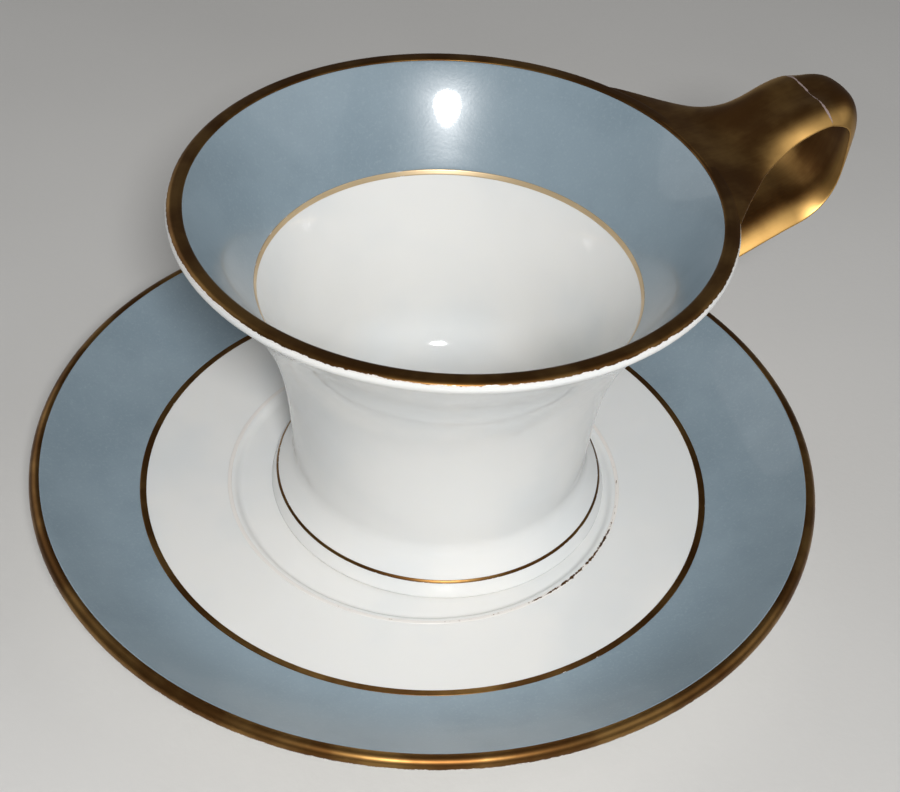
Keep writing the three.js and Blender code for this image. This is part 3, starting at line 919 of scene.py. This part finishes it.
class Ribbon:
    """Stations of the ribbon along its outer face, from its lap over the rim round the loop into the wall."""

    def __init__(self, h, c):
        outside, _, _ = cup_sides(c)
        self.outside = outside
        rim = spot(c.radius, c.height)
        root = rim + spot(0, h.root_height)
        crease = rim + spot(h.crease_reach, h.crease_height)
        outermost = rim + spot(h.loop_reach, h.loop_height)
        under = rim + spot(h.under_reach, h.under_height)
        wall_at = length_at(outside, c.height + h.lower_height)
        wall = point_at(outside, wall_at)
        self.wall_out = facing(points_at(outside, wall_at + WALL_PROBE * np.array((-1, 0, 1))))[1]
        self.wall_radius = wall[0]
        out, down, back = steer(0), steer(-QUARTER), steer(math.pi + h.under_slope)
        lead = np.array((root - out * h.root_lap, root))
        upper = held(root, out, crease, out, h.upper_hold)
        roll = held(crease, steer(-h.crease_turn), outermost, down, h.roll_hold)
        turn = held(outermost, down, under, back, h.turn_hold)
        lower = held(under, back, wall - c.wall * self.wall_out, -self.wall_out, h.lower_hold)
        sunk = measured(lower)[-1] - c.wall + h.embed
        runs = [stretch(run, RING_STEP) for run in (lead, upper, roll, turn)]
        runs.append(stretch(lower, RING_STEP, 0, sunk))
        self.points = joined(runs)
        self.outward = -facing(self.points)
        self.along = measured(self.points)
        ends = np.cumsum([measured(run)[-1] for run in runs])
        self.root_at, self.crease_at, self.end_at, self.under_at = ends[:4]
        self.wall_at = ends[4] - h.embed
        rolled = (self.along - self.crease_at) / (self.end_at - self.crease_at)
        turned_under = np.clip((self.along - self.end_at) / (self.under_at - self.end_at), 0, 1)
        dished = -h.dish * smooth(self.points[:, 0], root[0], crease[0])
        crowned = -h.dish + (h.dish + h.crown) * smooth(rolled, 0, h.crown_share)
        self.bow = np.where(self.along <= self.crease_at, dished, crowned * (1 - turned_under))
        self.under = smooth(turned_under, 0, 1)
        straight = smooth(self.points[:, 0], rim[0], rim[0] + BEND_RUN)
        self.bend = np.where(self.along < self.crease_at, 1 - straight, 0)
        self.half = self.half_widths(h, c, root[0])

    def half_widths(self, h, c, root):
        """Half the ribbon's width at each station, on its bent ring's own edge."""
        x = np.maximum(self.points[:, 0], root)
        half = np.full(len(x), h.width / 2)
        for _ in range(WIDTH_ROUNDS):
            edge = x - self.bend * sag(c.radius, half)
            run = np.clip(c.radius + h.flare_reach - edge, 0, None)
            bent = np.minimum(run, h.flare_radius * math.sin(h.flare_angle))
            widened = h.width / 2 + sag(h.flare_radius, bent) + (run - bent) * math.tan(h.flare_angle)
            half = np.where(self.along < self.crease_at, widened, h.width / 2)
        return half

    def rings(self, h, c):
        """Points of every ring from the tip of one edge, and their place across the ribbon and through it."""
        def fellow(value):
            return (1 - np.abs(value) ** h.fullness) ** (1 / h.fullness)

        face = np.linspace(-FACE_SHARE, FACE_SHARE, FACE_POINTS)
        edge = np.linspace(fellow(FACE_SHARE), -fellow(FACE_SHARE), EDGE_POINTS + 2)[1:-1]
        tip = 2 * FACE_POINTS + EDGE_POINTS + EDGE_POINTS // 2
        wide = np.roll(np.concatenate((face, fellow(edge), -face, -fellow(edge))), -tip)
        deep = np.roll(np.concatenate((fellow(face), edge, -fellow(face), -edge)), -tip)
        half, bow, bend, under = (part[:, None] for part in (self.half, self.bow, self.bend, self.under))
        normal = np.stack((np.sign(wide) * np.abs(wide) ** (h.fullness - 1) / h.width,
                           np.sign(deep) * np.abs(deep) ** (h.fullness - 1) / h.thickness))
        aside, upward = normal / np.linalg.norm(normal, axis=0)
        below = np.broadcast_to((1 - deep) / 2, (len(half), len(deep)))
        across = half * wide
        from_root = (self.along - self.root_at)[:, None]
        to_wall = (self.wall_at - self.along)[:, None]

        taper = smooth(np.abs(across), h.width * TAPER_FROM, self.half.max() * TAPER_TO)
        thinner = 1 - bend * h.tip * taper
        rolled = np.clip((np.abs(wide) - h.shoulder) / (1 - h.shoulder), 0, 1) ** ROLL_POWER
        fall = (h.droop * rolled - h.lift) * (1 - bend)
        bowed = np.where(bow < 0, (1 - wide ** 2) ** 2, 1 - wide ** 2)
        through = bow * bowed - below * h.thickness * thinner
        through += fall * (below * under - (1 - below) * (1 - under))
        through -= below * hollow(from_root, h.root_fillet) * thinner * bend
        through += (1 - below) * h.rise * (1 - smooth(from_root, 0, RISE_RUN)) * bend
        swell = hollow(to_wall, h.wall_fillet)
        across += aside * swell
        through += upward * swell

        x = self.points[:, :1] + self.outward[:, :1] * through
        z = self.points[:, 1:] + self.outward[:, 1:] * through
        lean = np.interp(z, self.outside[:, 1], self.outside[:, 0]) - self.outside[-1, 0]
        x += bend * (lean - sag(c.radius, across))
        inward = (1 - smooth(to_wall, 0, WRAP_RUN)) * sag(self.wall_radius, across)
        x -= self.wall_out[0] * inward
        z -= self.wall_out[1] * inward
        return np.stack((x, across, z), axis=-1), across, below

    def marks(self, h, across, below):
        """Brushing and wear of every point, and the painted highlight that brightens the gold towards the
        ribbon's edges.
        """
        along = np.broadcast_to(self.along[:, None], across.shape)
        wander = sum(amount * np.sin(across / pitch + start) for amount, pitch, start in CREASE_WANDER)
        chip = np.exp(-((across - CHIP_AT) / CHIP_RUN) ** 2)
        crease = np.exp(-((along - self.crease_at - wander) / (CREASE_WIDTH + CHIP_WIDTH * chip)) ** 2)
        crease *= 1 - smooth(below, *CREASE_DEPTH)
        crease *= 1 - CREASE_FADE + CREASE_FADE * smooth(np.abs(across), *CREASE_MIDDLE)
        edges = np.exp(-((below - EDGE_MIDDLE) / EDGE_SPREAD) ** 2)
        loop = smooth(along, self.crease_at, self.end_at) * (1 - smooth(along, self.end_at, self.under_at))
        worn = RIBBON_WEAR + CREASE_WEAR * crease + EDGE_WEAR * edges + LOOP_WEAR * loop
        # Painted highlight: brighter gold towards the ribbon's edges, coming in from 5 to 13 mm along it
        rubbed = smooth(np.abs(across) / self.half[:, None], *PAINTED_SHEEN_ACROSS) * smooth(along, *PAINTED_SHEEN_ALONG)
        brushed = np.stack((along, below * h.thickness, across), axis=-1)
        return {"brushed": brushed.reshape(-1, 3), "worn": worn.ravel(), "rubbed": rubbed.ravel()}


def end_cap(ring):
    """Faces across a ring that starts at the tip of one edge, between its upper and lower points."""
    lower = ring[:1] + ring[:0:-1]
    middle = len(ring) // 2
    quads = [(ring[k], ring[k + 1], lower[k + 1], lower[k]) for k in range(1, middle - 1)]
    return [(ring[0], ring[1], lower[1]), *quads, (ring[middle - 1], ring[middle], lower[middle - 1])]


class FormHandle(bpy.types.Operator):
    """Draws out the gilded ribbon that leaves the rim, folds over at its crease and loops to the wall"""

    bl_idname = "tableware.form_handle"
    bl_label = "Form Ribbon Handle"

    def execute(self, context):
        scene = context.scene
        h, c = scene.demitasse_handle, scene.demitasse_cup
        ribbon = Ribbon(h, c)
        rings, across, below = ribbon.rings(h, c)
        corner, faces = skin(*rings.shape[:2])
        faces = faces[:, TURNED_ROUND].tolist()
        faces += end_cap(corner[0].tolist()) + [face[::-1] for face in end_cap(corner[-1].tolist())]
        tones = scene.demitasse_finishes
        gold = worn_gold("worn_gold_ribbon", tones.gold, tones.gold_deep, tones.ribbon_trace,
                         stain=0.41, metal=1.0, fleck=620, polish=0.39)
        piece = make_piece("gilded_cup_handle", rings.reshape(-1, 3) + origin_of("cup_handle"), faces,
                           ribbon.marks(h, across, below), gold)
        place_piece(piece, "cup_handle", HANDLE_SLACK)
        return {"FINISHED"}


FLOOR_DROP = 0.02 * MM
NEAR_CLIP = 0.01


def softbox(stage, name):
    """A round soft lamp that points at the middle of the part."""
    light = bpy.data.lights.new(f"{name}_softbox", "AREA")
    light.shape = "DISK"
    light.size = getattr(stage, f"{name}_size")
    light.energy = getattr(stage, f"{name}_power")
    lamp = add(light.name, light)
    lamp.location = getattr(stage, name)
    lamp.rotation_euler = (Vector(stage.aim) - lamp.location).to_track_quat("-Z", "Y").to_euler()


class SetStage(bpy.types.Operator):
    """Sets the floor, the lamps, the surroundings and the camera"""

    bl_idname = "tableware.set_stage"
    bl_label = "Set Stage"

    def execute(self, context):
        scene = context.scene
        stage = scene.demitasse_stage
        half = stage.floor_size / 2
        corners = half * np.array([(-1, -1, 0), (1, -1, 0), (1, 1, 0), (-1, 1, 0)])
        floor = make_piece("floor", corners, [(0, 1, 2, 3)], {}, pale_floor(scene.demitasse_finishes))
        floor.location.z = -FLOOR_DROP

        for name in ("key", "wide", "rear"):
            softbox(stage, name)
        world = bpy.data.worlds.new("plain_surroundings")
        world.use_nodes = True
        backdrop = world.node_tree.nodes["Background"].inputs
        backdrop["Color"].default_value = (1, 1, 1, 1)
        backdrop["Strength"].default_value = stage.sky
        scene.world = world

        camera = add("camera", bpy.data.cameras.new("camera"))
        camera.data.lens = stage.lens
        camera.data.sensor_fit = "HORIZONTAL"
        camera.data.clip_start = NEAR_CLIP
        turn = Matrix.Rotation(-stage.heading, 4, "Z")
        tilt = Matrix.Rotation(QUARTER - stage.dip, 4, "X")
        roll = Matrix.Rotation(stage.roll, 4, "Z")
        camera.matrix_world = Matrix.Translation(stage.camera) @ turn @ tilt @ roll
        scene.camera = camera
        scene.view_settings.view_transform = "Standard"
        return {"FINISHED"}


class TablewarePanel(bpy.types.Panel):
    """Lists the pieces and their sizes"""

    bl_idname = "VIEW3D_PT_demitasse"
    bl_label = "Demitasse Cup and Saucer"
    bl_space_type = "VIEW_3D"
    bl_region_type = "UI"
    bl_category = "Tableware"

    def draw(self, context):
        for operator in OPERATORS:
            self.layout.operator(operator.bl_idname)
        for key, group in GROUPS.items():
            box = self.layout.box()
            settings = getattr(context.scene, key)
            for name in group.__annotations__:
                box.prop(settings, name)


GROUPS = {
    "demitasse_saucer": SaucerSizes,
    "demitasse_cup": CupSizes,
    "demitasse_handle": HandleSizes,
    "demitasse_coats": CoatSizes,
    "demitasse_finishes": Finishes,
    "demitasse_stage": StageSettings,
}
OPERATORS = (TurnPorcelain, LayEnamel, LayGold, FormHandle, SetStage)
CLASSES = (*GROUPS.values(), *OPERATORS, TablewarePanel)


def register():
    for cls in CLASSES:
        bpy.utils.register_class(cls)
    for key, group in GROUPS.items():
        setattr(bpy.types.Scene, key, PointerProperty(type=group))


def unregister():
    for key in GROUPS:
        delattr(bpy.types.Scene, key)
    for cls in reversed(CLASSES):
        bpy.utils.unregister_class(cls)


def main():
    register()
    bpy.ops.tableware.turn_porcelain()
    bpy.ops.tableware.lay_enamel()
    bpy.ops.tableware.lay_gold()
    bpy.ops.tableware.form_handle()
    bpy.ops.tableware.set_stage()


if __name__ == "__main__":
    main()
